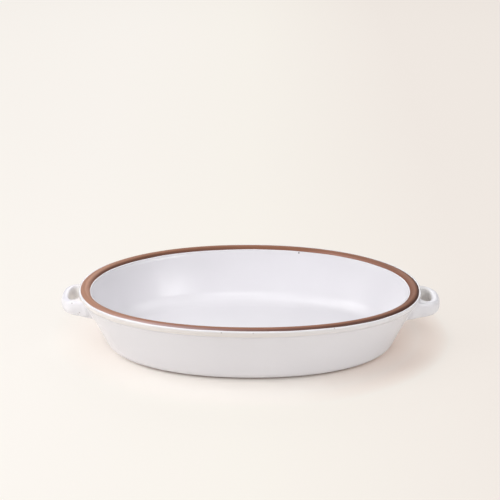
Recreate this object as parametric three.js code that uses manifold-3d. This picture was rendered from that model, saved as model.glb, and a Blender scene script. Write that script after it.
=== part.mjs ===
// Oval stoneware baking dish: a clay body with a bare rim and foot, two clay loop handles luted on
// at its ends, and white glaze fired on inside and outside.
// Millimetres, +X along the dish, +Z up. The foot stands on Z = 0 and the dish is centred on the Z axis.

import * as THREE from 'three';
import Module from 'manifold-3d';

const wasm = await Module();
wasm.setup();

// Clay body
const RIM_LENGTH = 294;
const RIM_WIDTH = 184;
const HEIGHT = 54.5; // foot to rim, as an average round the rim
const BASE_LENGTH = 247; // the wall carried straight down to the table, end to end
const BASE_WIDTH = 146; // the same, side to side
const OVAL_POWER = 2.1; // an ellipse has 2, a squarer oval more
const RIM_BOW = 0.9; // rise of the rim at the long sides, and its dip at the ends
const RIM_BAND = 8.2; // thickness of the rim
const RIM_FALL = 0.4; // how much lower the rim lies at its inner edge
const RIM_ROUND = 1.2; // radius of both edges of the rim
const COLLAR_HEIGHT = 6.6; // thickened band under the rim
const COLLAR_STEP = 2.6; // how far the collar stands out from the wall
const COLLAR_COVE = 2.4; // height of the slope from the wall out to the collar
const WALL_SWEEP = 1.6; // how far the wall curves in from a straight line at half its height
const WALL = 7; // thickness of the wall at the floor
const FLOOR = 7; // height of the inside floor
const FLOOR_FILLET = 11; // radius between the inside floor and the wall
const HEEL_ROUND = 6; // radius where the wall turns under
const HEEL_TURN = 68; // degrees through which the heel turns before it meets the foot
const FOOT_HEIGHT = 1.6; // bare strip under the heel
const FOOT_EDGE = 0.4; // bevel of the foot's edges
const FOOT_WIDTH = 11; // width of the flat ring that the dish stands on
const FOOT_RECESS = 1.2; // depth of the hollow inside that ring

// Loop handles, in clay: flat lugs with rounded edges, each pierced by a finger slot
const HANDLE_REACH = 16.7; // lug beyond the rim
const HANDLE_SPAN = 40.4; // across the lug
const HANDLE_DROP = 13.1; // rim to the middle of the lug
const HANDLE_LEG = 2.2; // straight sides of the lug, from the wall
const HANDLE_POWER = 2.5; // squareness of its outline, as OVAL_POWER
const ROOT_HEIGHT = 15; // of the lug at the wall
const TIP_HEIGHT = 9.8; // at its far end
const HANDLE_EDGE = 3; // depth of the rounding along its outline
const EDGE_POWER = 2.4; // roundness of that rounding, as OVAL_POWER
const ROOT_FLARE = 2; // how much each side spreads where it joins the wall
const ROOT_BLEND = 9; // distance from the wall over which it spreads
const ROOT_DEPTH = 14; // lug behind the wall's face, before the wall cuts it off
const STRAP_WIDTH = 6; // clay between the finger slot and the far end
const SLOT_WIDTH = 10.4; // finger slot, out from the wall
const SLOT_LENGTH = 27; // finger slot, along the wall
const SLOT_EDGE = 2; // depth of the rounding along the slot

// Glaze
const GLAZE = 0.7; // thickness of each coat
const CLAY_BED = 0.3; // clearance between a coat and its clay
const LUTE_GAP = 0.3; // clearance between a handle and the wall that it is luted to
const BARE_RIM = 0.4; // clay left bare below the rim's outer edge

// Slot cutter, as shares of the lug's half height
const SLOT_RUN = 1.02; // end of its rounded part
const SLOT_END = 1.5; // its end, clear of the lug

// Facets
const SEGMENTS = 64; // round the oval
const EDGE_STEPS = 3; // round each rim edge
const FILLET_STEPS = 4; // round the heel and the floor's fillet
const WALL_STEPS = 4; // up the curved wall
const LUG_STEPS = 20; // round a handle's outline
const SLOT_STEPS = 24; // round its finger slot
const LUG_LEVELS = 7; // from its underside to its top

const { lerp, clamp, degToRad } = THREE.MathUtils;
const rim = { a: RIM_LENGTH / 2, b: RIM_WIDTH / 2 };
const base = { a: BASE_LENGTH / 2, b: BASE_WIDTH / 2 };
const collarBottom = HEIGHT - COLLAR_HEIGHT;
const bareEdge = HEIGHT - BARE_RIM;
const liningTop = HEIGHT - RIM_FALL - RIM_ROUND;
const filletTop = FLOOR + FLOOR_FILLET;

function signedPower(value, power) {
  return Math.sign(value) * Math.abs(value) ** power;
}

// Ovals: a station is an oval with half axes a and b, moved outwards along its normals and lifted to z

function ring({ a, b, out, z }) {
  const points = [];
  const bowed = RIM_BOW * clamp((z - filletTop) / (HEIGHT - filletTop), 0, 1);
  for (let i = 0; i < SEGMENTS; i++) {
    const angle = (2 * Math.PI * i) / SEGMENTS;
    const u = signedPower(Math.cos(angle), 2 / OVAL_POWER);
    const v = signedPower(Math.sin(angle), 2 / OVAL_POWER);
    const normal = new THREE.Vector3(
      signedPower(u, OVAL_POWER - 1) / a,
      signedPower(v, OVAL_POWER - 1) / b,
      0,
    ).normalize();
    const point = new THREE.Vector3(a * u, b * v, z - bowed * Math.cos(2 * angle));
    points.push(point.addScaledVector(normal, out));
  }
  return points;
}

// Skin over rings of equal length, its two ends closed by a fan about their middles
function skin(rings) {
  const count = rings[0].length;
  const corners = rings.flat();
  const faces = [];
  for (let i = 0; i + 1 < rings.length; i++) {
    for (let j = 0; j < count; j++) {
      const next = (j + 1) % count;
      const low = i * count;
      const high = low + count;
      faces.push(low + j, low + next, high + next, low + j, high + next, high + j);
    }
  }
  const middleOf = (points) =>
    points.reduce((sum, point) => sum.add(point), new THREE.Vector3()).divideScalar(count);
  const start = corners.push(middleOf(rings[0])) - 1;
  const end = corners.push(middleOf(rings.at(-1))) - 1;
  const last = (rings.length - 1) * count;
  for (let j = 0; j < count; j++) {
    const next = (j + 1) % count;
    faces.push(start, next, j, end, last + j, last + next);
  }
  const geometry = new THREE.BufferGeometry().setFromPoints(corners);
  return geometry.setIndex(faces);
}

function ovalSolid(stations) {
  return skin(stations.map(ring));
}

// Points of a quarter turn or less, from one angle to another in degrees
function arc(radius, from, to, steps) {
  return Array.from({ length: steps + 1 }, (_, i) => {
    const angle = degToRad(lerp(from, to, i / steps));
    return { along: radius * Math.cos(angle), up: radius * Math.sin(angle) };
  });
}

// Profiles of the clay, each one also available moved off the clay by a cover

// Flaring wall between the collar and the table
function wallAt(z) {
  const down = (collarBottom - z) / collarBottom;
  const sweep = 4 * WALL_SWEEP * down * (1 - down);
  return {
    a: lerp(rim.a, base.a, down),
    b: lerp(rim.b, base.b, down),
    out: -COLLAR_STEP * (1 - down) - sweep,
    z,
  };
}

// Inside wall, from the end of the rim's inner edge to the floor
function liningAt(z) {
  const down = (liningTop - z) / (liningTop - FLOOR);
  const foot = wallAt(FLOOR);
  return {
    a: lerp(rim.a, foot.a, down),
    b: lerp(rim.b, foot.b, down),
    out: lerp(-RIM_BAND, foot.out - WALL, down),
    z,
  };
}

const moved = (station, out) => ({ ...station, out: station.out + out });
const rimAt = (out, z) => ({ ...rim, out, z });

// From the foot round the heel and up the wall to the collar's face
function outside(cover) {
  const heelMiddle = FOOT_HEIGHT + HEEL_ROUND;
  const heel = arc(HEEL_ROUND + cover, -HEEL_TURN, 0, FILLET_STEPS).map(({ along, up }) => {
    const z = heelMiddle + up;
    return moved(wallAt(z), along - HEEL_ROUND);
  });
  const wall = [];
  for (let i = 1; i <= WALL_STEPS; i++) {
    wall.push(moved(wallAt(lerp(heelMiddle, collarBottom - cover, i / WALL_STEPS)), cover));
  }
  return [...heel, ...wall, rimAt(cover, collarBottom + COLLAR_COVE - cover)];
}

// From the rim's inner edge down the lining and round the fillet to the floor
function inside(cover, top) {
  const radius = FLOOR_FILLET - cover;
  const fillet = arc(radius, 0, 90, FILLET_STEPS).map(({ along, up }) => {
    const z = filletTop - up;
    return moved(liningAt(z), along - radius - cover);
  });
  return [moved(liningAt(top), -cover), ...fillet];
}

// Clay body, from the middle of its underside to the middle of its inside floor
function bodySolid() {
  const heelEnd = outside(0)[0];
  const footOut = { ...heelEnd, out: heelEnd.out - FOOT_EDGE };
  const footAt = (inset, z) => ({ ...footOut, out: footOut.out - inset, z });
  const outerEdge = arc(RIM_ROUND, 0, 90, EDGE_STEPS).map(({ along, up }) =>
    rimAt(along - RIM_ROUND, HEIGHT - RIM_ROUND + up),
  );
  const innerEdge = arc(RIM_ROUND, 90, 180, EDGE_STEPS).map(({ along, up }) =>
    rimAt(along + RIM_ROUND - RIM_BAND, liningTop + up),
  );
  innerEdge.pop(); // the lining begins at its end
  return ovalSolid([
    footAt(FOOT_WIDTH + FOOT_EDGE, FOOT_RECESS),
    footAt(FOOT_WIDTH, FOOT_RECESS - FOOT_EDGE),
    footAt(FOOT_WIDTH - FOOT_EDGE, 0),
    footAt(FOOT_EDGE, 0),
    footAt(0, FOOT_EDGE),
    footAt(0, FOOT_HEIGHT),
    ...outside(0),
    ...outerEdge,
    ...innerEdge,
    ...inside(0, liningTop),
  ]);
}

// Handle: a lug that stands level on the end of the dish, with a slot through it

const handleZ = HEIGHT - RIM_BOW - HANDLE_DROP;
const seat = wallAt(handleZ);
const seatX = seat.a + seat.out;
const bendX = seatX + HANDLE_LEG;
const tipX = rim.a + HANDLE_REACH;
const slotX = tipX - STRAP_WIDTH - SLOT_WIDTH / 2;

// Half the lug's height, less towards its far end
function halfHeightAt(x) {
  return lerp(ROOT_HEIGHT, TIP_HEIGHT, (x - seatX) / (tipX - seatX)) / 2;
}

// Outline of the right-hand lug from above, with its directions outwards
function lugPlan() {
  const reach = tipX - bendX;
  const half = HANDLE_SPAN / 2;
  const plan = [];
  const add = (x, y, normalX, normalY) => {
    const near = clamp(1 - (x - seatX) / ROOT_BLEND, 0, 1) ** 2;
    const outward = new THREE.Vector3(normalX, normalY, 0).normalize();
    plan.push({ x, y: y + Math.sign(y) * ROOT_FLARE * near, outward });
  };
  add(seatX - ROOT_DEPTH, -half, 0, -1);
  add(seatX, -half, 0, -1);
  for (let i = 0; i <= LUG_STEPS; i++) {
    const angle = Math.PI * (i / LUG_STEPS - 0.5);
    const u = signedPower(Math.cos(angle), 2 / HANDLE_POWER);
    const v = signedPower(Math.sin(angle), 2 / HANDLE_POWER);
    const normalX = signedPower(u, HANDLE_POWER - 1) / reach;
    const normalY = signedPower(v, HANDLE_POWER - 1) / half;
    add(bendX + reach * u, half * v, normalX, normalY);
  }
  add(seatX, half, 0, 1);
  add(seatX - ROOT_DEPTH, half, 0, 1);
  return plan;
}

// Levels from the underside to the top: shares of the half height, and how far the edge is rounded back
function lugLevels(edge) {
  return Array.from({ length: LUG_LEVELS }, (_, i) => {
    const angle = Math.PI * (i / (LUG_LEVELS - 1) - 0.5);
    const share = signedPower(Math.sin(angle), 2 / EDGE_POWER);
    const back = edge * (1 - signedPower(Math.cos(angle), 2 / EDGE_POWER));
    return { share, back };
  });
}

function lug(cover) {
  const plan = lugPlan();
  return skin(lugLevels(HANDLE_EDGE).map(({ share, back }) =>
    plan.map(({ x, y, outward }) => {
      const point = new THREE.Vector3(x, y, 0).addScaledVector(outward, cover - back);
      return point.setZ(handleZ + share * (halfHeightAt(point.x) + cover));
    }),
  ));
}

// Cutter for the slot, widening over the rounded edges and running past both faces of the lug
function slot(cover) {
  const levels = lugLevels(SLOT_EDGE).map(({ share, back }) => ({ share: share * SLOT_RUN, back }));
  levels.unshift({ share: -SLOT_END, back: SLOT_EDGE });
  levels.push({ share: SLOT_END, back: SLOT_EDGE });
  return skin(levels.map(({ share, back }) =>
    Array.from({ length: SLOT_STEPS }, (_, i) => {
      const angle = (2 * Math.PI * i) / SLOT_STEPS;
      const x = slotX + (SLOT_WIDTH / 2 + back - cover) * Math.cos(angle);
      const y = (SLOT_LENGTH / 2 + back - cover) * Math.sin(angle);
      return new THREE.Vector3(x, y, handleZ + share * (halfHeightAt(x) + cover));
    }),
  ));
}

// Solids and booleans

function solidOf(geometry) {
  const mesh = new wasm.Mesh({
    numProp: 3,
    vertProperties: geometry.getAttribute('position').array,
    triVerts: Uint32Array.from(geometry.getIndex().array),
  });
  return new wasm.Manifold(mesh);
}

function geometryOf(solid) {
  const { vertProperties, triVerts } = solid.getMesh();
  const geometry = new THREE.BufferGeometry();
  geometry.setAttribute('position', new THREE.BufferAttribute(vertProperties, 3));
  geometry.setIndex(new THREE.BufferAttribute(triVerts, 1));
  return geometry;
}

// The dish filled to the brim, moved off its clay by a cover
function filledDish(cover) {
  const stations = outside(cover);
  return ovalSolid([{ ...stations[0], z: 0 }, ...stations, rimAt(cover, HEIGHT)]);
}

// Right-hand lug with its slot, moved off its clay by a cover
function piercedLug(cover) {
  return solidOf(lug(cover)).subtract(solidOf(slot(cover)));
}

function handleSolid() {
  return geometryOf(piercedLug(0).subtract(solidOf(filledDish(LUTE_GAP))));
}

// Inside coat, with a rounded lip under the rim's inner edge
function innerGlazeSolid() {
  const top = CLAY_BED + GLAZE;
  const lip = moved(liningAt(liningTop), -CLAY_BED - GLAZE / 2);
  const under = inside(CLAY_BED, liningTop - GLAZE / 2).reverse();
  return ovalSolid([...under, lip, ...inside(top, liningTop - GLAZE / 2)]);
}

// Outside coat: one skin over the wall and both handles, with rounded lips at the rim and the heel
function outerGlazeSolid() {
  const top = CLAY_BED + GLAZE;
  const wall = outside(top);
  const toe = outside(CLAY_BED)[0];
  const coated = ovalSolid([
    { ...toe, out: toe.out - GLAZE },
    toe,
    ...wall,
    rimAt(top, bareEdge - GLAZE / 2),
    rimAt(CLAY_BED + GLAZE / 2, bareEdge),
    rimAt(0, bareEdge),
  ]);
  const withHandles = (dish, cover) => {
    const handle = piercedLug(cover);
    return solidOf(dish).add(handle).add(handle.rotate(0, 0, 180));
  };
  return geometryOf(withHandles(coated, top).subtract(withHandles(filledDish(CLAY_BED), CLAY_BED)));
}

// Named pieces

function piece(name, geometry, color, roughness) {
  const material = new THREE.MeshStandardMaterial({ color, roughness, metalness: 0 });
  const mesh = new THREE.Mesh(geometry, material);
  mesh.name = name;
  return mesh;
}

const CLAY = 0x8f604f;
const CLAY_ROUGHNESS = 0.7;
const GLAZE_WHITE = 0xe9e6e4;
const GLAZE_ROUGHNESS = 0.35;

const leftHandle = piece('left_handle', handleSolid(), CLAY, CLAY_ROUGHNESS);
leftHandle.rotation.z = Math.PI;

const dish = new THREE.Group();
dish.name = 'oval_baking_dish';
dish.add(
  piece('stoneware_body', bodySolid(), CLAY, CLAY_ROUGHNESS),
  leftHandle,
  piece('right_handle', handleSolid(), CLAY, CLAY_ROUGHNESS),
  piece('inner_glaze', innerGlazeSolid(), GLAZE_WHITE, GLAZE_ROUGHNESS),
  piece('outer_glaze', outerGlazeSolid(), GLAZE_WHITE, GLAZE_ROUGHNESS),
);

export default dish;
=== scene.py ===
"""Oval stoneware baking dish with loop handles: white glaze, bare clay rim and foot, on a pale floor."""

import math

import bmesh
import bpy
import numpy as np
from mathutils import Matrix, Vector


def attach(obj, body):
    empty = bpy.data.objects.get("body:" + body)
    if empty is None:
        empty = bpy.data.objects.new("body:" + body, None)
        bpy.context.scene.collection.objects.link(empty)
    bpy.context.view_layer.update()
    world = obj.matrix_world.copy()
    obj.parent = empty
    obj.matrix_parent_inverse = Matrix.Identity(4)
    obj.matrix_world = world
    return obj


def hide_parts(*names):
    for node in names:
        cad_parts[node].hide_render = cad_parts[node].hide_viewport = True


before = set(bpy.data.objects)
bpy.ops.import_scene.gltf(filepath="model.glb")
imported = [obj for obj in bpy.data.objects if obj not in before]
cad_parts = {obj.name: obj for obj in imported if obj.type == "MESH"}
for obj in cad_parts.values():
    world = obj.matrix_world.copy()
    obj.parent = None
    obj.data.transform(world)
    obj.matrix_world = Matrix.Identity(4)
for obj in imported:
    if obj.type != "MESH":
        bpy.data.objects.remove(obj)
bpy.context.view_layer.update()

# Sizes of the dish in millimetres, mostly those of the part's source
MM = 0.001  # millimetres to metres
RIM = np.array([147.0, 92.0])  # half axes of the oval at the rim
BASE = np.array([122.2, 73.0])  # half axes at the bottom
HEIGHT = 54.5
POWER = 2.1  # fullness of the ovals, where 2 is an ellipse
RIM_BOW = 0.9  # rise and fall of the rim's saddle
RIM_BAND = 8.2  # width of the rim
RIM_FALL = 0.4  # drop from its outer to its inner edge
RIM_ROUND = 1.2
RIM_CROWN = 0.75  # rise of its middle
CROWN_POWER = 1.5
BARE_RIM = 0.55  # from the rim's height down to the edge of the outside glaze
COLLAR_HEIGHT = 6.6
COLLAR_STEP = 2.6
COLLAR_COVE = 2.4
COLLAR_SOFT_LOW = 0.8  # how far the collar's step spreads downwards
COLLAR_SOFT_HIGH = 1.2  # and upwards
WALL_SWEEP = 0.4  # hollow of the outside of the wall
WALL = 7.0
LINING_BELLY = 1.2  # bulge of the inside of the wall
FLOOR = 7.0
FLOOR_FILLET = 11.0
HEEL_ROUND = 6.0
HEEL_TURN = math.radians(68)
FOOT_HEIGHT = 1.6
FOOT_EDGE = 0.4
FOOT_WIDTH = 11.0
FOOT_RECESS = 1.2
GLAZE = 0.7
CLAY_BED = 0.3  # clearance that the glaze has off the clay

# Sizes of the loop handles
HANDLE_REACH = 16.7  # out from the rim
HANDLE_SPAN = 40.4
HANDLE_DROP = 13.1  # from the rim down to the handle's middle
HANDLE_LEG = 2.2
HANDLE_POWER = 2.5  # fullness of its outline
LEFT_BACK_POWER = 3.2  # the left loop is fuller at its back
LEFT_SHORT = 0.7  # how much shorter the left loop is
RIGHT_LONG = 0.6  # how much longer the right loop is
ROOT_HEIGHT = 13.4
TIP_HEIGHT = 9.8
HANDLE_EDGE = 3.8  # rounding along its outside
EDGE_POWER = 2.4
ROOT_FLARE = 2.7
ROOT_BLEND = 9.0
ROOT_DEPTH = 14.0
ROOT_FILLET = 2.6  # soft hollow between a handle and the wall
LEAST_FILLET = 0.4  # what is left of it under the rim
FILLET_FADE = 3.0
FILLET_CLEAR = 0.6
STRAP_WIDTH = 6.0
SLOT_WIDTH = 10.4
SLOT_LENGTH = 27.0
SLOT_EDGE = 2.8  # rounding along the slot
SLOT_POWER = 2.2
LEFT_SLOT_POWER = 2.4  # the left slot is fuller at its back
RIGHT_SLOT_BACK = 9.6  # the right slot stops short at its back

# Edges of the glaze as sections: how far off the wall or in from the rim, and how far below the edge
OUTER_LIP = (
    (0, 2.7), (0.02, 2.2), (0.13, 1.75), (0.28, 1.3), (0.33, 0.9), (0.24, 0.5), (0.03, 0.2),
    (-0.3, 0.04), (-0.7, 0), (-1.15, 0.04), (-1.5, 0.12),
)
INNER_LIP = ((-0.1, 0.03), (0.3, 0), (0.65, 0.04), (0.92, 0.2), (1.1, 0.45), (1.12, 0.75), (1.06, 1.05))
INNER_LIP_DEPTH = 2.0  # height of the band that the inside edge takes up
RIM_TO_LINING = 0.8  # from the rim's inner edge down to the clay's next row
LIP_WAVES = ((0.08, 5, 0.7), (0.06, 11, 2.1), (0.05, 23, 4.0))  # height, count round the dish, start
INNER_WAVE_TURN = 1.3
OUTER_DROP = 0.6  # how far the outside edge sinks at the back left and the front right
INNER_DROP = 0.45  # how far the inside edge sinks at the left, a little to the back
INNER_DROP_SIDE = 2.75
INNER_DROP_POWER = 4

# Spacing of the meshes
END_STEP = 1.1  # between columns at the handles
LINING_END_STEP = 1.8
SIDE_STEP = 2.4  # between columns elsewhere
END_ZONE = 34.0  # half width of the close columns
END_FADE = 26.0
NET_BOTTOM = 25.5  # the band of the wall that the handles grow out of
NET_COARSE_TOP = 44.5
NET_FINE_BOTTOM = 45.1
NET_TOP = 50.5
NET_OFF = np.concatenate([[-2.2, -1.1], np.arange(0.4, 30, 1.0)])  # distances off the wall
NEAR_HANDLE_X = 112.0  # places further in than this are clear of the handles
NEAR_HANDLE_Y = 42.0  # and so are places further to the front or the back than this
TINY = 1e-6  # keeps a divisor off zero

COVER = CLAY_BED + GLAZE
COLLAR_BOTTOM = HEIGHT - COLLAR_HEIGHT
FILLET_TOP = FLOOR + FLOOR_FILLET
HEEL_MIDDLE = FOOT_HEIGHT + HEEL_ROUND
BARE_EDGE = HEIGHT - BARE_RIM
LINING_TOP = HEIGHT - RIM_FALL - RIM_ROUND


# Ovals and profiles

def smooth_step(t):
    t = np.clip(t, 0, 1)
    return t * t * (3 - 2 * t)


def signed_power(value, power):
    return np.sign(value) * np.abs(value) ** power


def oval(angle, a, b, out):
    """Points of an oval with half axes a and b, moved outwards along its normals."""
    u = signed_power(np.cos(angle), 2 / POWER)
    v = signed_power(np.sin(angle), 2 / POWER)
    nx = signed_power(u, POWER - 1) / a
    ny = signed_power(v, POWER - 1) / b
    length = np.hypot(nx, ny)
    return a * u + out * nx / length, b * v + out * ny / length


def bow(angle, z):
    """Height of the rim's saddle, which fades out towards the floor."""
    return -RIM_BOW * np.clip((z - FILLET_TOP) / (HEIGHT - FILLET_TOP), 0, 1) * np.cos(2 * angle)


def columns(end_step):
    """Angles round the oval, closer together at the two ends."""
    dense = np.linspace(0, 2 * np.pi, 20001)
    x, y = oval(dense, *RIM, 0)
    length = np.hypot(np.diff(x), np.diff(y))
    middle = (np.abs(y[1:]) + np.abs(y[:-1])) / 2
    end = 1 - smooth_step((middle - END_ZONE) / END_FADE)
    pace = np.concatenate([[0], np.cumsum(length / (SIDE_STEP + (end_step - SIDE_STEP) * end))])
    count = 4 * round(pace[-1] / 4)
    return np.interp((np.arange(count) + 0.5) * pace[-1] / count, pace, dense)


def wall_at(z):
    """Half axes and offset of the clay wall below the collar."""
    down = (COLLAR_BOTTOM - z) / COLLAR_BOTTOM
    out = -COLLAR_STEP * (1 - down) - 4 * WALL_SWEEP * down * (1 - down)
    return RIM + (BASE - RIM) * down, out


def outer_at(z, cover):
    """Half axes and offset of the outside from the heel to the rim, moved off the clay by a cover."""
    axes, out = wall_at(min(z, COLLAR_BOTTOM))
    low = COLLAR_BOTTOM - cover - COLLAR_SOFT_LOW
    high = COLLAR_BOTTOM + COLLAR_COVE - cover + COLLAR_SOFT_HIGH
    t = smooth_step((z - low) / (high - low))
    return axes + (RIM - axes) * t, out * (1 - t) + cover


def lining_at(z):
    """Half axes and offset of the inside wall."""
    down = (LINING_TOP - z) / (LINING_TOP - FLOOR)
    foot_axes, foot_out = wall_at(FLOOR)
    belly = 4 * LINING_BELLY * down * (1 - down)
    return RIM + (foot_axes - RIM) * down, -RIM_BAND + (foot_out - WALL + RIM_BAND) * down + belly


def row(angle, axes, out, z):
    """One row of points round the dish."""
    x, y = oval(angle, axes[0], axes[1], out)
    return np.stack([x, y, z + bow(angle, z) + np.zeros_like(x)], axis=-1)


def heel_rows(angle, cover, steps):
    """From the toe, where the glaze starts, up round the heel."""
    rows = []
    for turn in np.linspace(-HEEL_TURN, 0, steps + 1):
        z = HEEL_MIDDLE + (HEEL_ROUND + cover) * math.sin(turn)
        axes, out = wall_at(z)
        rows.append(row(angle, axes, out + (HEEL_ROUND + cover) * math.cos(turn) - HEEL_ROUND, z))
    return rows


def inside_rows(angle, cover, top, wall_steps, fillet_steps):
    """Down the lining and round the fillet to the floor."""
    rows = []
    for z in np.linspace(top, FILLET_TOP, wall_steps, endpoint=False):
        axes, out = lining_at(z)
        rows.append(row(angle, axes, out - cover, z))
    radius = FLOOR_FILLET - cover
    for turn in np.linspace(0, np.pi / 2, fillet_steps + 1):
        z = FILLET_TOP - radius * math.sin(turn)
        axes, out = lining_at(z)
        rows.append(row(angle, axes, out + radius * math.cos(turn) - radius - cover, z))
    return rows


def shrunk(last, count):
    """Rows that close in from a row towards its middle."""
    middle = last.mean(axis=0)
    return [middle + (last - middle) * t for t in np.linspace(1, 0, count + 1)[1:-1]]


def lip_wave(angle):
    """Small ups and downs of the line where the glaze stops at the rim."""
    return sum(height * np.sin(count * angle + start) for height, count, start in LIP_WAVES)


# Meshes

def make_object(name, points, faces, material):
    """A smooth mesh object from points in millimetres."""
    mesh = bpy.data.meshes.new(name)
    mesh.from_pydata((np.asarray(points) * MM).tolist(), [], [tuple(map(int, f)) for f in faces])
    build = bmesh.new()
    build.from_mesh(mesh)
    bmesh.ops.recalc_face_normals(build, faces=build.faces)
    build.to_mesh(mesh)
    build.free()
    mesh.polygons.foreach_set("use_smooth", [True] * len(mesh.polygons))
    mesh.materials.append(material)
    obj = bpy.data.objects.new(name, mesh)
    bpy.context.scene.collection.objects.link(obj)
    return obj


def strip(low, high):
    """Quads between two closed rows of point numbers."""
    return np.stack([low, np.roll(low, -1), np.roll(high, -1), high], axis=1).tolist()


def strips(rows):
    """Quads over closed rows of point numbers."""
    return [quad for low, high in zip(rows[:-1], rows[1:]) for quad in strip(low, high)]


def closed_skin(rows):
    """Points and faces over closed rows, with the first and the last closed by a fan."""
    count = len(rows[0])
    points = np.concatenate(rows + [rows[0].mean(axis=0)[None], rows[-1].mean(axis=0)[None]])
    numbers = np.arange(len(rows) * count).reshape(len(rows), count)
    faces = strips(numbers)
    start, end = len(points) - 2, len(points) - 1
    faces += [(start, j, i) for i, j in zip(numbers[0], np.roll(numbers[0], -1))]
    faces += [(end, i, j) for i, j in zip(numbers[-1], np.roll(numbers[-1], -1))]
    return points, faces


def shell(name, points, faces, backed, toe, lip, back_lip, material):
    """A coat with thickness: its outer face, and a face behind the backed points."""
    build = bmesh.new()
    corners = [build.verts.new(p) for p in points]
    for quad in faces:
        build.faces.new([corners[i] for i in quad])
    build.verts.index_update()
    bmesh.ops.recalc_face_normals(build, faces=build.faces)
    build.normal_update()
    outward = np.array([v.normal for v in corners])
    ordered = [[v.index for v in face.verts] for face in build.faces]
    build.free()
    if outward[toe, 2].mean() > 0:
        outward = -outward
    back = np.full(len(points), -1)
    back[backed] = len(points) + np.arange(backed.sum())
    all_points = np.concatenate([points, (points - GLAZE * outward)[backed]])
    behind = [[back[i] for i in reversed(f)] for f in ordered if all(backed[i] for i in f)]
    edges = strip(toe, back[toe]) + strip(lip, back[back_lip])
    return make_object(name, all_points, ordered + behind + edges, material)


# Outlines of the loop handles from above, in the right-hand half of the dish

HANDLE_Z = HEIGHT - RIM_BOW - HANDLE_DROP
SEAT_AXES, SEAT_OUT = wall_at(HANDLE_Z)
SEAT_X = SEAT_AXES[0] + SEAT_OUT
BEND_X = SEAT_X + HANDLE_LEG
TIP_X = RIM[0] + HANDLE_REACH
SLOT_X = TIP_X - STRAP_WIDTH - SLOT_WIDTH / 2


def curve(x, y, out):
    """Points and outward normals of a curve that runs anticlockwise, moved outwards."""
    dx, dy = np.gradient(x), np.gradient(y)
    normal = np.stack([dy, -dx], axis=1) / np.hypot(dx, dy)[:, None]
    return np.stack([x, y], axis=1) + out * normal, normal


def lug_curve(back_power):
    """Glazed outline of a lug, with the fullness of its back half."""
    bend = np.linspace(-np.pi / 2, np.pi / 2, 121)
    leg = np.linspace(SEAT_X - ROOT_DEPTH, BEND_X, 24, endpoint=False)
    side = np.ones_like(leg)
    power = 2 / np.where(bend > 0, back_power, HANDLE_POWER)
    x = np.concatenate([leg, BEND_X + (TIP_X - BEND_X) * np.cos(bend) ** power, leg[::-1]])
    y = HANDLE_SPAN / 2 * np.concatenate([-side, signed_power(np.sin(bend), power), side])
    near = np.clip(1 - (x - SEAT_X) / ROOT_BLEND, 0, 1) ** 2
    return curve(x, y + np.sign(y) * ROOT_FLARE * near, COVER)


def slot_curve(back, back_power):
    """Glazed outline of a finger slot, with the reach and the fullness of its back half."""
    turn = np.linspace(0, 2 * np.pi, 193)
    at_back = np.sin(turn) > 0
    power = 2 / np.where(at_back, back_power, SLOT_POWER)
    x = SLOT_X + SLOT_WIDTH / 2 * signed_power(np.cos(turn), power)
    y = np.where(at_back, back, SLOT_LENGTH / 2) * signed_power(np.sin(turn), power)
    return curve(x, y, -COVER)


LEFT_LUG = lug_curve(LEFT_BACK_POWER)
RIGHT_LUG = lug_curve(HANDLE_POWER)
LEFT_SLOT = slot_curve(SLOT_LENGTH / 2, LEFT_SLOT_POWER)
RIGHT_SLOT = slot_curve(RIGHT_SLOT_BACK, SLOT_POWER)


def distance_to(flat, outline):
    """Distance outwards from an outline, worked out in batches."""
    points, normals = outline
    result = np.empty(len(flat))
    batch = 20000
    for start in range(0, len(flat), batch):
        part = flat[start:start + batch]
        gap = (part[:, :1] - points[:, 0]) ** 2 + (part[:, 1:] - points[:, 1]) ** 2
        nearest = gap.argmin(axis=1)
        result[start:start + batch] = ((part - points[nearest]) * normals[nearest]).sum(axis=1)
    return result


def handle_distance(points):
    """Rough distance from the glazed surface of the two handles, in points near them."""
    flat = np.stack([np.abs(points[:, 0]), points[:, 1]], axis=1)
    left = points[:, 0] < 0
    far = (flat[:, 0] - SEAT_X) / (TIP_X - SEAT_X)
    stretched = flat.copy()
    stretched[:, 0] += np.where(left, LEFT_SHORT, -RIGHT_LONG) * smooth_step(far)
    beyond = np.where(left, distance_to(stretched, LEFT_LUG), distance_to(stretched, RIGHT_LUG))
    hollow = np.where(left, distance_to(flat, LEFT_SLOT), distance_to(flat, RIGHT_SLOT))
    outside = 1 + beyond / HANDLE_EDGE
    inside = 1 - hollow / SLOT_EDGE
    edge = np.where(outside > inside, HANDLE_EDGE, SLOT_EDGE)
    half_height = (ROOT_HEIGHT + (TIP_HEIGHT - ROOT_HEIGHT) * far) / 2 + COVER
    p = np.maximum(np.maximum(outside, inside), 0)
    q = np.abs(points[:, 2] - HANDLE_Z) / half_height
    level = np.maximum((p ** EDGE_POWER + q ** EDGE_POWER) ** (1 / EDGE_POWER), TINY)
    slope = np.hypot((p / level) ** (EDGE_POWER - 1) / edge, (q / level) ** (EDGE_POWER - 1) / half_height)
    return (level - 1) / np.maximum(slope, TINY)


# Surface net of the wall's band and both handles, on a grid of angle, distance off the wall and height

BAND_Z = np.concatenate([
    np.linspace(NET_BOTTOM, NET_COARSE_TOP, 20),
    np.linspace(NET_FINE_BOTTOM, NET_TOP, 10),
])
BAND = [outer_at(z, COVER) for z in BAND_Z]
BAND_A = np.array([axes[0] for axes, _ in BAND])
BAND_B = np.array([axes[1] for axes, _ in BAND])
BAND_OUT = np.array([out for _, out in BAND])
WALL_LEAN = 0.92  # about the true distance from the leaning wall for a level millimetre


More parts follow.
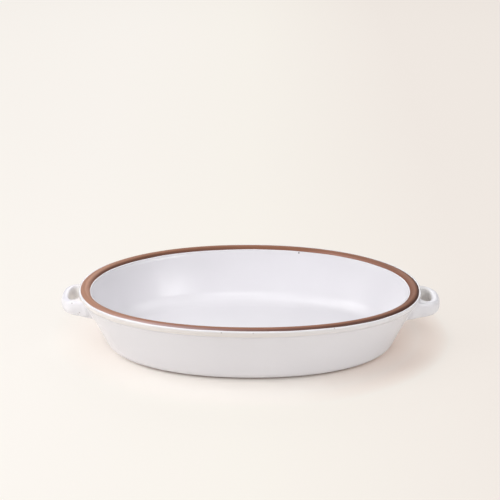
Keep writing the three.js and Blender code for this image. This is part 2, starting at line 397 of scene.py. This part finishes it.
def band_points(angle, off, z):
    """Points at a distance off the glazed wall, level with it."""
    a = np.interp(z, BAND_Z, BAND_A)
    b = np.interp(z, BAND_Z, BAND_B)
    x, y = oval(angle, a, b, np.interp(z, BAND_Z, BAND_OUT) + off)
    return np.stack([x, y, z + bow(angle, z)], axis=-1)


def coat_level(angle, off, z):
    """Level of the coat's outer face: the wall and the handles, run together softly."""
    wall = WALL_LEAN * off
    points = band_points(angle, off, z)
    handles = np.full(len(off), np.inf)
    close = (np.abs(points[:, 0]) > NEAR_HANDLE_X) & (np.abs(points[:, 1]) < NEAR_HANDLE_Y)
    handles[close] = handle_distance(points[close])
    fillet = LEAST_FILLET + ROOT_FILLET * smooth_step((NET_TOP - FILLET_CLEAR - z) / FILLET_FADE)
    overlap = np.clip(fillet - np.abs(wall - handles), 0, None) / fillet
    return np.minimum(wall, handles) - overlap ** 2 * fillet / 4


def net_faces(inside, index):
    """Quads of a surface net on a grid whose first axis is closed in a ring."""
    faces = []

    def add(crossing, a, b, c, d):
        quads = np.stack([a[crossing], b[crossing], c[crossing], d[crossing]], axis=1)
        faces.extend(quads.tolist())

    before = np.roll(index, 1, axis=0)
    across = inside[:, :-1, 1:-1] != inside[:, 1:, 1:-1]
    add(across, before[:, :, :-1], index[:, :, :-1], index[:, :, 1:], before[:, :, 1:])
    around = inside[:, 1:-1, 1:-1] != np.roll(inside, -1, axis=0)[:, 1:-1, 1:-1]
    add(around, index[:, :-1, :-1], index[:, 1:, :-1], index[:, 1:, 1:], index[:, :-1, 1:])
    upward = inside[:, 1:-1, :-1] != inside[:, 1:-1, 1:]
    add(upward, before[:, :-1], index[:, :-1], index[:, 1:], before[:, 1:])
    return faces


def coat_net(edges):
    """Points and quads of the net, and its bottom and top rows. Its columns lie between the edges."""
    shape = (len(edges), len(NET_OFF), len(BAND_Z))
    grid = np.meshgrid(edges, NET_OFF, BAND_Z, indexing="ij")
    level = coat_level(*(g.ravel() for g in grid)).reshape(shape)
    cells = (shape[0], shape[1] - 1, shape[2] - 1)
    sums = np.zeros(cells + (3,))
    hits = np.zeros(cells)
    steps = np.meshgrid(*(np.arange(n) for n in cells), indexing="ij")

    def corner(i, j, k):
        return np.roll(level, -i, axis=0)[:, j:cells[1] + j, k:cells[2] + k]

    corners = [(i, j, k) for i in (0, 1) for j in (0, 1) for k in (0, 1)]
    for one in corners:
        for two in corners:
            if sum(two) - sum(one) != 1 or sum(a != b for a, b in zip(one, two)) != 1:
                continue
            low, high = corner(*one), corner(*two)
            cross = (low < 0) != (high < 0)
            t = np.where(cross, low / np.where(cross, low - high, 1), 0)
            for axis in range(3):
                place = steps[axis] + one[axis] + (two[axis] - one[axis]) * t
                sums[..., axis] += np.where(cross, place, 0)
            hits += cross
    active = hits > 0
    index = np.full(cells, -1)
    index[active] = np.arange(active.sum())
    place = sums[active] / hits[active][:, None]
    angle = np.interp(place[:, 0], np.arange(len(edges) + 1), np.append(edges, edges[0] + 2 * np.pi))
    off = np.interp(place[:, 1], np.arange(len(NET_OFF)), NET_OFF)
    z = np.interp(place[:, 2], np.arange(len(BAND_Z)), BAND_Z)
    faces = net_faces(level < 0, index)
    bottom = index[:, :, 0].max(axis=1)
    top = index[:, :, -1].max(axis=1)
    return settle(angle, off, z, faces, np.concatenate([bottom, top])), faces, bottom, top


def settle(angle, off, z, faces, pinned):
    """Net points, evened out and drawn onto the level surface. The pinned rows keep their places."""
    free = np.ones(len(angle), bool)
    free[pinned] = False
    quads = np.array(faces)
    pairs = np.concatenate([quads[:, [i, (i + 1) % 4]] for i in range(4)])
    pairs = np.unique(np.sort(pairs, axis=1), axis=0)
    degree = np.bincount(pairs.ravel(), minlength=len(angle))
    turn = 1e-4  # steps for the slopes, in radians
    step = 0.02  # and in millimetres
    least = 0.2  # least squared slope, so that flat places don't move far
    even_rounds = 6
    pulls = 2  # after each round
    last_pulls = 3

    def pull(angle, off, z):
        """Move the points along the slope to level 0, at most a millimetre each way."""
        ahead, behind = band_points(angle + turn, off, z), band_points(angle - turn, off, z)
        pace = np.linalg.norm(ahead - behind, axis=1) / (2 * turn)
        value = coat_level(angle, off, z)
        slope = np.stack([
            coat_level(angle + step / pace, off, z) - coat_level(angle - step / pace, off, z),
            coat_level(angle, off + step, z) - coat_level(angle, off - step, z),
            coat_level(angle, off, z + step) - coat_level(angle, off, z - step),
        ]) / (2 * step)
        move = -value / np.maximum((slope ** 2).sum(axis=0), least) * slope
        move = np.clip(move, -1, 1) * free
        return angle + move[0] / pace, off + move[1], np.clip(z + move[2], NET_BOTTOM, NET_TOP)

    def even(values, ring=False):
        """Move the points half way to the middle of their neighbours."""
        gaps = values[pairs[:, 1]] - values[pairs[:, 0]]
        if ring:
            gaps = (gaps + np.pi) % (2 * np.pi) - np.pi
        total = np.zeros(len(values))
        np.add.at(total, pairs[:, 0], gaps)
        np.add.at(total, pairs[:, 1], -gaps)
        return values + 0.5 * free * total / degree

    for _ in range(even_rounds):
        angle, off, z = even(angle, ring=True), even(off), even(z)
        for _ in range(pulls):
            angle, off, z = pull(angle, off, z)
    for _ in range(last_pulls):
        angle, off, z = pull(angle, off, z)
    return band_points(angle, off, z)


# Pieces

def outer_coat(material):
    """Glaze outside: the net, plain rows below it down to the toe, and rows above it to the rim."""
    edges = columns(END_STEP)
    net, faces, bottom, top = coat_net(edges)
    middle = (edges + np.append(edges[1:], edges[0] + 2 * np.pi)) / 2
    half_step = (BAND_Z[1] - BAND_Z[0]) / 2
    below = heel_rows(middle, COVER, steps=12)
    for z in np.linspace(HEEL_MIDDLE, NET_BOTTOM + half_step, 13)[1:-1]:
        below.append(row(middle, *outer_at(z, COVER), z))
    edge = BARE_EDGE + lip_wave(middle) - OUTER_DROP * np.clip(-np.sin(2 * middle), 0, 1)
    above = [row(middle, RIM, COVER + off, edge - drop) for off, drop in OUTER_LIP]
    points = np.concatenate([net] + below + above)
    numbers = len(net) + np.arange(len(points) - len(net)).reshape(-1, len(middle))
    lower, upper = numbers[:len(below)], numbers[len(below):]
    faces = faces + strips(list(lower) + [bottom]) + strips([top] + list(upper))
    backed = np.ones(len(points), bool)
    backed[upper[2:].ravel()] = False
    return shell("outer_glaze_coat", points, faces, backed, lower[0], upper[-1], upper[1], material)


def inner_coat(material):
    """Glaze inside, as a closed skin: up its back, over its edge and down its face."""
    angle = columns(LINING_END_STEP)
    sink = INNER_DROP * np.clip(np.cos(angle - INNER_DROP_SIDE), 0, 1) ** INNER_DROP_POWER
    edge = LINING_TOP + lip_wave(angle + INNER_WAVE_TURN) - sink
    axes, out = lining_at(LINING_TOP)
    lip = [row(angle, axes, out - off, edge - drop) for off, drop in INNER_LIP]

    def side(cover):
        rows = inside_rows(angle, cover, LINING_TOP - INNER_LIP_DEPTH, wall_steps=16, fillet_steps=14)
        return rows + shrunk(rows[-1], count=22)

    points, faces = closed_skin(side(CLAY_BED)[::-1] + lip + side(COVER))
    return make_object("inner_glaze_coat", points, faces, material)


def foot_rows(angle):
    """From the recess under the dish out over the foot ring."""
    toe_z = HEEL_MIDDLE - HEEL_ROUND * math.sin(HEEL_TURN)
    axes, out = wall_at(toe_z)
    foot = out + HEEL_ROUND * math.cos(HEEL_TURN) - HEEL_ROUND - FOOT_EDGE
    section = (
        (FOOT_WIDTH + FOOT_EDGE, FOOT_RECESS),
        (FOOT_WIDTH, FOOT_RECESS - FOOT_EDGE),
        (FOOT_WIDTH - FOOT_EDGE / 2, FOOT_EDGE * 5 / 8),
        (FOOT_WIDTH - FOOT_EDGE * 3 / 2, 0),
        (FOOT_EDGE * 3 / 2, 0),
        (FOOT_EDGE / 2, FOOT_EDGE * 3 / 8),
        (0, FOOT_EDGE),
        (0, FOOT_HEIGHT),
    )
    return [row(angle, axes, foot - inset, z) for inset, z in section]


def rim_rows(angle):
    """Over the bare rim from its outer to its inner edge."""
    rows = []
    for turn in np.linspace(0, np.pi, 25):
        edge = HEIGHT - RIM_ROUND if turn < np.pi / 2 else LINING_TOP
        rise = (HEIGHT + RIM_CROWN - edge) * max(math.sin(turn), 0) ** (2 / CROWN_POWER)
        across = signed_power(math.cos(turn), 2 / CROWN_POWER)
        rows.append(row(angle, RIM, RIM_BAND / 2 * (across - 1), edge + rise))
    return rows


def clay_body(material):
    """The clay dish as a closed skin, from the middle of its underside round to the middle of its floor."""
    angle = columns(LINING_END_STEP)
    under = foot_rows(angle)
    under = shrunk(under[0], count=10)[::-1] + under
    heights = np.linspace(HEEL_MIDDLE, HEIGHT - RIM_ROUND, 32)[1:-1]
    wall = [row(angle, *outer_at(z, 0), z) for z in heights]
    floor = inside_rows(angle, 0, LINING_TOP - RIM_TO_LINING, wall_steps=10, fillet_steps=10)
    floor += shrunk(floor[-1], count=10)
    points, faces = closed_skin(under + heel_rows(angle, 0, steps=10) + wall + rim_rows(angle) + floor)
    return make_object("clay_body", points, faces, material)


# Materials

def srgb(red, green, blue):
    """Linear colour from 0 to 255 values on the screen."""
    return [((c / 255 + 0.055) / 1.055) ** 2.4 for c in (red, green, blue)] + [1.0]


class Nodes:
    """A material's node tree, with its Principled shader."""

    def __init__(self, name):
        self.material = bpy.data.materials.new(name)
        self.material.use_nodes = True
        self.tree = self.material.node_tree
        self.shader = self.tree.nodes["Principled BSDF"]

    def add(self, kind, **settings):
        node = self.tree.nodes.new(kind)
        for key, value in settings.items():
            setattr(node, key, value)
        return node

    def link(self, source, target):
        self.tree.links.new(source, target)

    def place(self):
        """Place on the object, in metres."""
        return self.add("ShaderNodeTexCoord").outputs["Object"]

    def axes(self):
        """The same along X, Y and Z."""
        node = self.add("ShaderNodeSeparateXYZ")
        self.link(self.place(), node.inputs[0])
        return node.outputs

    def vector(self, operation, one, two=None):
        """A vector operation on a socket, and on a second socket or fixed numbers."""
        node = self.add("ShaderNodeVectorMath", operation=operation)
        self.link(one, node.inputs[0])
        if isinstance(two, bpy.types.NodeSocket):
            self.link(two, node.inputs[1])
        elif two is not None:
            node.inputs[1].default_value = two
        plain = operation in ("LENGTH", "DISTANCE", "DOT_PRODUCT")
        return node.outputs["Value" if plain else "Vector"]

    def maths(self, operation, one, two):
        node = self.add("ShaderNodeMath", operation=operation)
        self.link(one, node.inputs[0])
        self.link(two, node.inputs[1])
        return node.outputs[0]

    def noise(self, scale, detail, place=None):
        node = self.add("ShaderNodeTexNoise")
        node.inputs["Scale"].default_value = scale
        node.inputs["Detail"].default_value = detail
        self.link(self.place() if place is None else place, node.inputs["Vector"])
        return node.outputs["Fac"]

    def streaks(self, across, along, detail):
        """Noise drawn out round the dish."""
        scaled = self.vector("MULTIPLY", self.place(), (1 / (RIM[0] * MM), 1 / (RIM[1] * MM), 0))
        axes = self.axes()
        vector = self.add("ShaderNodeCombineXYZ")
        self.link(self.vector("LENGTH", scaled), vector.inputs["X"])
        self.link(axes["X"], vector.inputs["Y"])
        self.link(axes["Y"], vector.inputs["Z"])
        return self.noise(1, detail, self.vector("MULTIPLY", vector.outputs[0], (across, along, along)))

    def ramp(self, source, stops):
        node = self.add("ShaderNodeValToRGB")
        while len(node.color_ramp.elements) < len(stops):
            node.color_ramp.elements.new(0.5)
        for element, (place, colour) in zip(node.color_ramp.elements, stops):
            element.position = place
            element.color = srgb(*colour)
        self.link(source, node.inputs["Fac"])
        return node.outputs["Color"]

    def span(self, source, to, over=(0, 1)):
        """The source, taken from one range to another and held at its ends."""
        node = self.add("ShaderNodeMapRange")
        node.inputs["From Min"].default_value, node.inputs["From Max"].default_value = over
        node.inputs["To Min"].default_value, node.inputs["To Max"].default_value = to
        self.link(source, node.inputs["Value"])
        return node.outputs["Result"]

    def mix(self, factor, one, two, blend="MIX"):
        """A blend of two colours, each a socket or screen values."""
        node = self.add("ShaderNodeMix", data_type="RGBA", blend_type=blend)
        factor_in, one_in, two_in = node.inputs[0], node.inputs[6], node.inputs[7]
        for value, socket in ((factor, factor_in), (one, one_in), (two, two_in)):
            if isinstance(value, bpy.types.NodeSocket):
                self.link(value, socket)
            else:
                socket.default_value = srgb(*value) if isinstance(value, tuple) else value
        return node.outputs[2]

    def rim_level(self):
        """Height on the dish, with the rim's saddle taken out."""
        place = self.place()
        square = self.vector("MULTIPLY", place, place)
        share = RIM_BOW * MM / (RIM * MM) ** 2
        saddle = self.vector("DOT_PRODUCT", square, (share[0], -share[1], 0))
        return self.maths("ADD", self.axes()["Z"], saddle)

    def facing_out(self):
        """How far the surface faces away from the dish's middle: 1 straight out, -1 straight in."""
        scaled = self.vector("MULTIPLY", self.place(), (1 / RIM[0] ** 2, 1 / RIM[1] ** 2, 0))
        outward = self.vector("NORMALIZE", scaled)
        return self.vector("DOT_PRODUCT", outward, self.add("ShaderNodeTexCoord").outputs["Normal"])

    def bump(self, height, strength, distance):
        node = self.add("ShaderNodeBump")
        node.inputs["Strength"].default_value = strength
        node.inputs["Distance"].default_value = distance
        self.link(height, node.inputs["Height"])
        self.link(node.outputs["Normal"], self.shader.inputs["Normal"])


# Iron specks in the glaze: place in millimetres, radius and depth of tone
SPECKS = (
    (44.5, 78.6, 52.6, 0.9, 0.95), (46.6, 69.1, 27.3, 0.6, 0.12), (48.4, 68.5, 26.6, 0.5, 0.12),
    (-152.9, -18.9, 45.7, 0.8, 0.5), (-146.3, -21.3, 38.0, 0.8, 0.4), (-147.7, -20.7, 36.1, 0.8, 0.35),
    (-107.0, -61.9, 45.6, 0.8, 0.18), (-63.6, -72.6, 25.7, 0.7, 0.15), (-22.8, -92.6, 53.6, 0.8, 0.4),
    (3.1, -93.1, 53.7, 0.7, 0.3), (69.5, -83.5, 53.9, 0.8, 0.4),
)
SPECK_CORE = 0.4  # dark middle of a speck, and its faded edge, as shares of its radius
SPECK_EDGE = 1.1
WHITE = (255, 255, 255)


def glaze_material(name):
    """Satin white glaze, faintly clouded, with specks. Gives its nodes and its colour."""
    nodes = Nodes(name)
    place = nodes.place()
    colour = nodes.ramp(nodes.noise(scale=9, detail=3), [(0.3, (234, 232, 236)), (0.7, (240, 238, 242))])
    freckle = nodes.add("ShaderNodeTexVoronoi")
    freckle.inputs["Scale"].default_value = 52
    nodes.link(place, freckle.inputs["Vector"])
    dot = nodes.span(freckle.outputs["Distance"], to=(0.3, 0), over=(0.008, 0.022))
    few = nodes.span(nodes.noise(scale=31, detail=0), to=(0, 1), over=(0.6, 0.66))
    mark = nodes.maths("MULTIPLY", dot, few)
    for x, y, z, radius, depth in SPECKS:
        gap = nodes.vector("DISTANCE", place, (x * MM, y * MM, z * MM))
        core, edge = radius * SPECK_CORE * MM, radius * SPECK_EDGE * MM
        mark = nodes.maths("MAXIMUM", mark, nodes.span(gap, to=(depth, 0), over=(core, edge)))
    rough = nodes.span(nodes.noise(scale=40, detail=2), to=(0.2, 0.28))
    nodes.link(rough, nodes.shader.inputs["Roughness"])
    nodes.shader.inputs["IOR"].default_value = 1.5
    nodes.bump(nodes.noise(scale=160, detail=2), strength=0.06, distance=0.0004)
    return nodes, nodes.mix(mark, colour, (104, 84, 72))


def inner_glaze_material():
    """The glaze inside, with painted shade: a little darker on its floor."""
    nodes, colour = glaze_material("satin_white_glaze")
    # painted shade: the floor inside the dish is made a little darker
    floor_shade = nodes.span(nodes.axes()["Z"], to=(1, 0), over=(0.0085, 0.012))
    colour = nodes.mix(floor_shade, colour, (247, 247, 247), "MULTIPLY")
    nodes.link(colour, nodes.shader.inputs["Base Color"])
    return nodes.material


def outer_glaze_material():
    """The glaze outside, with painted shade in the crease under the collar, a warm band on the collar, both
    fading out towards the right end, and painted shade in the finger slots.
    """
    nodes, colour = glaze_material("satin_white_glaze_outside")
    side = nodes.axes()["X"]
    warm = (253, 249, 242)
    # painted shade in the crease under the collar, then warmer on the collar
    tone = nodes.ramp(nodes.span(nodes.rim_level(), to=(0, 1), over=(0.044, 0.054)), [
        (0.2, WHITE), (0.38, (248, 247, 250)), (0.47, warm), (0.82, warm), (0.92, WHITE),
    ])
    # the painted crease shade and the warm band fade out towards the right end
    colour = nodes.mix(nodes.span(side, to=(1, 0.15), over=(0.02, 0.1)), colour, tone, "MULTIPLY")
    from_slot = nodes.vector("SUBTRACT", nodes.vector("ABSOLUTE", nodes.place()), (SLOT_X * MM, 0, 0))
    slot_axes = (2 / (SLOT_WIDTH * MM), 2 / (SLOT_LENGTH * MM), 0)
    reach = nodes.vector("LENGTH", nodes.vector("MULTIPLY", from_slot, slot_axes))
    # painted shade inside the finger slots, deeper on the right handle
    slot_shade = nodes.mix(nodes.span(side, to=(0, 1), over=(-0.01, 0.01)), (247, 245, 238), (230, 228, 222))
    colour = nodes.mix(nodes.span(reach, to=(1, 0), over=(0.9, 1.25)), colour, slot_shade, "MULTIPLY")
    nodes.link(colour, nodes.shader.inputs["Base Color"])
    return nodes.material


def clay_material():
    """Bare brown clay with painted light and shade: paler at the left end and darker to the right, painted
    shade on its inner slope and more of it inside at the back, and a painted sheen along its outer edge at
    the left that turns to painted shade towards the right.
    """
    nodes = Nodes("bare_brown_clay")
    axes = nodes.axes()
    along = nodes.span(axes["X"], to=(0, 1), over=(-RIM[0] * MM, RIM[0] * MM))
    facing = nodes.facing_out()

    cloud = nodes.ramp(nodes.noise(scale=26, detail=4), [(0.3, (142, 91, 64)), (0.7, (158, 105, 76))])
    grain = nodes.span(nodes.streaks(across=90, along=45, detail=3), to=(0, 0.7), over=(0.4, 0.72))
    colour = nodes.mix(grain, cloud, (116, 72, 50))
    # painted light and shade along the dish: lighter at the left end, darker towards the right
    side_light_paint = nodes.ramp(along, [
        (0, (184, 140, 116)), (0.28, (150, 98, 70)), (0.7, (146, 95, 68)), (1, (128, 82, 60)),
    ])
    colour = nodes.mix(0.5, colour, side_light_paint)

    # painted shade on the clay slopes that face into the dish
    colour = nodes.mix(nodes.span(facing, to=(0.16, 0), over=(-0.5, -0.12)), colour, (84, 50, 42))
    # painted light on the faces that turn up or out at the left end
    level = nodes.span(facing, to=(1, 0), over=(-0.2, 0.02))
    left_end = nodes.span(along, to=(1, 0), over=(0, 0.09))
    colour = nodes.mix(nodes.maths("MULTIPLY", level, left_end), colour, (186, 136, 112))

    # painted shade on the rim's inner slope at the back, darkest at the left, with some painted light
    # towards the right
    inner_shade = nodes.ramp(along, [
        (0.2, (86, 50, 38)), (0.4, (112, 72, 58)), (0.66, (146, 96, 74)), (0.76, (172, 124, 108)),
        (0.95, (140, 92, 72)),
    ])
    inward = nodes.span(facing, to=(0.8, 0), over=(-0.62, -0.36))
    at_back = nodes.span(axes["Y"], to=(0, 1), over=(-0.01, 0.03))
    colour = nodes.mix(nodes.maths("MULTIPLY", inward, at_back), colour, inner_shade)

    # painted sheen along the outer edge at the left, turning to painted shade towards the right
    edge_sheen_and_shade = nodes.ramp(along, [
        (0.04, (186, 146, 132)), (0.18, (190, 158, 155)), (0.3, (170, 142, 142)), (0.42, (148, 118, 116)),
        (0.55, (118, 88, 83)), (0.75, (88, 60, 54)), (0.95, (66, 42, 36)),
    ])
    outward = nodes.span(facing, to=(0, 0.85), over=(0.22, 0.46))
    outer_edge = nodes.maths("MULTIPLY", outward, nodes.span(along, to=(0.4, 1), over=(0.03, 0.22)))
    colour = nodes.mix(outer_edge, colour, edge_sheen_and_shade)
    nodes.link(colour, nodes.shader.inputs["Base Color"])

    rough = nodes.span(nodes.noise(scale=150, detail=3), to=(0.46, 0.58))
    rough = nodes.maths("SUBTRACT", rough, nodes.span(outer_edge, to=(0, 0.25)))
    nodes.link(rough, nodes.shader.inputs["Roughness"])
    nodes.shader.inputs["Specular IOR Level"].default_value = 0.4
    nodes.bump(nodes.noise(scale=700, detail=3), strength=0.1, distance=0.0003)
    return nodes.material


# Pieces on the frame

inner_glaze = inner_glaze_material()
outer_glaze = outer_glaze_material()
clay = clay_material()
outer = outer_coat(outer_glaze)
inner = inner_coat(inner_glaze)
body = clay_body(clay)
for piece, node, slot in (
    (outer, "outer_glaze", "white_glaze"),
    (inner, "inner_glaze", "white_glaze"),
    (body, "stoneware_body", "bare_clay"),
):
    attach(piece, "root")
    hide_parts(node)
for node in ("left_handle", "right_handle"):
    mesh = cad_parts[node].data
    mesh.materials.clear()
    mesh.materials.append(clay)

# Floor, light and camera, in metres

FLOOR_LEVEL = -0.0001  # just clear of the foot
FLOOR_HALF = 6.0
SHADE_MIDDLE = (0, 0.0196, 0)  # oval in which the floor keeps the dish's shadow
SHADE_AXES = (0.178, 0.14)


def floor_material():
    """Pale paper, seen partly in a set tone of its own: a little near the dish, more further off. That tone
    is painted light and shade, lighter to the left and darker to the right, with a warm painted shadow near
    the dish on the right.
    """
    nodes = Nodes("pale_floor")
    nodes.shader.inputs["Base Color"].default_value = srgb(245, 241, 235)
    nodes.shader.inputs["Roughness"].default_value = 0.9
    nodes.shader.inputs["Specular IOR Level"].default_value = 0.1
    side = nodes.axes()["X"]
    from_middle = nodes.vector("SUBTRACT", nodes.place(), SHADE_MIDDLE)
    scaled = nodes.vector("MULTIPLY", from_middle, (1 / SHADE_AXES[0], 1 / SHADE_AXES[1], 0))
    away = nodes.vector("LENGTH", scaled)

    # painted light and shade: the floor's set tone is lighter to the left and darker to the right
    far_tone = nodes.ramp(nodes.span(side, to=(0, 1), over=(-0.3, 0.3)), [
        (0.2, (250, 245, 239)), (0.5, (248, 243, 235)), (0.85, (241, 233, 226)),
    ])
    # painted shadow: a warm, darker tone near the dish on the right, where its shadow falls
    near_tone = nodes.mix(nodes.span(side, to=(1, 0), over=(0.04, 0.13)), (226, 172, 144), (251, 239, 231))
    tone = nodes.add("ShaderNodeEmission")
    further = nodes.span(away, to=(0, 1), over=(0.76, 1))
    nodes.link(nodes.mix(further, near_tone, far_tone), tone.inputs["Color"])

    path = nodes.add("ShaderNodeLightPath").outputs
    seen = nodes.maths("ADD", path["Is Camera Ray"], path["Is Glossy Ray"])
    seen = nodes.maths("ADD", seen, path["Is Transmission Ray"])
    # painted light: at the left the floor shows mostly its set tone, which takes the dish's shadow away
    # there
    lit_side = nodes.span(side, to=(0.75, 0), over=(-0.135, -0.06))
    plain = nodes.maths("MAXIMUM", nodes.span(away, to=(0.22, 0.85), over=(0.84, 1.04)), lit_side)
    blend = nodes.add("ShaderNodeMixShader")
    nodes.link(nodes.maths("MULTIPLY", seen, plain), blend.inputs[0])
    nodes.link(nodes.shader.outputs[0], blend.inputs[1])
    nodes.link(tone.outputs[0], blend.inputs[2])
    nodes.link(blend.outputs[0], nodes.tree.nodes["Material Output"].inputs["Surface"])
    return nodes.material


floor_square = ((-1, -1), (1, -1), (1, 1), (-1, 1))
floor_corners = [(x * FLOOR_HALF, y * FLOOR_HALF, FLOOR_LEVEL) for x, y in floor_square]
floor_mesh = bpy.data.meshes.new("floor")
floor_mesh.from_pydata(floor_corners, [], [(0, 1, 2, 3)])
floor_mesh.materials.append(floor_material())
floor = bpy.data.objects.new("floor", floor_mesh)
bpy.context.scene.collection.objects.link(floor)

# Lamps, turned to the dish: name, place, width and height, power
AIM = Vector((0, 0, 0.03))
LAMPS = (
    ("above", (-0.8, -0.15, 1.45), (1.1, 1.1), 8.5),
    ("left", (-0.62, -0.25, 0.5), (0.45, 0.45), 2.64),
    ("right", (0.9, -0.3, 0.9), (0.8, 0.8), 3.3),
    ("back", (0, 1.3, 1.0), (1.2, 0.8), 8.3),
    ("front", (0.1, -1.3, 1.4), (0.8, 0.8), 4.5),
    ("card", (0.79, -1.08, 0.5), (0.46, 0.15), 2.3),
)
for name, place, size, power in LAMPS:
    lamp = bpy.data.lights.new(name, "AREA")
    lamp.shape = "RECTANGLE"
    lamp.size, lamp.size_y = size
    lamp.energy = power
    light = bpy.data.objects.new(name, lamp)
    light.location = place
    light.rotation_euler = (AIM - Vector(place)).to_track_quat("-Z", "Y").to_euler()
    bpy.context.scene.collection.objects.link(light)

world = bpy.data.worlds.new("studio")
world.use_nodes = True
background = world.node_tree.nodes["Background"]
background.inputs["Color"].default_value = (0.98, 0.98, 1.0, 1)
background.inputs["Strength"].default_value = 0.19
bpy.context.scene.world = world

CAMERA_PLACE = (0.0033, -1.19, 0.5843)
PITCH = math.radians(22.637)  # downwards
SIDE_LOOK = -0.0028  # a little to the left, as a slope
ROLL = math.radians(0.2)
camera_data = bpy.data.cameras.new("camera")
camera_data.sensor_width = 36
camera_data.lens = 108
camera = bpy.data.objects.new("camera", camera_data)
forward = Vector((SIDE_LOOK * math.cos(PITCH), math.cos(PITCH), -math.sin(PITCH))).normalized()
right = forward.cross(Vector((0, 0, 1))).normalized()
up = right.cross(forward)
rolled_right = right * math.cos(ROLL) + up * math.sin(ROLL)
rolled_up = up * math.cos(ROLL) - right * math.sin(ROLL)
turn = Matrix((rolled_right, rolled_up, -forward)).transposed().to_4x4()
camera.matrix_world = Matrix.Translation(CAMERA_PLACE) @ turn
bpy.context.scene.collection.objects.link(camera)
bpy.context.scene.camera = camera
bpy.context.scene.view_settings.view_transform = "Standard"
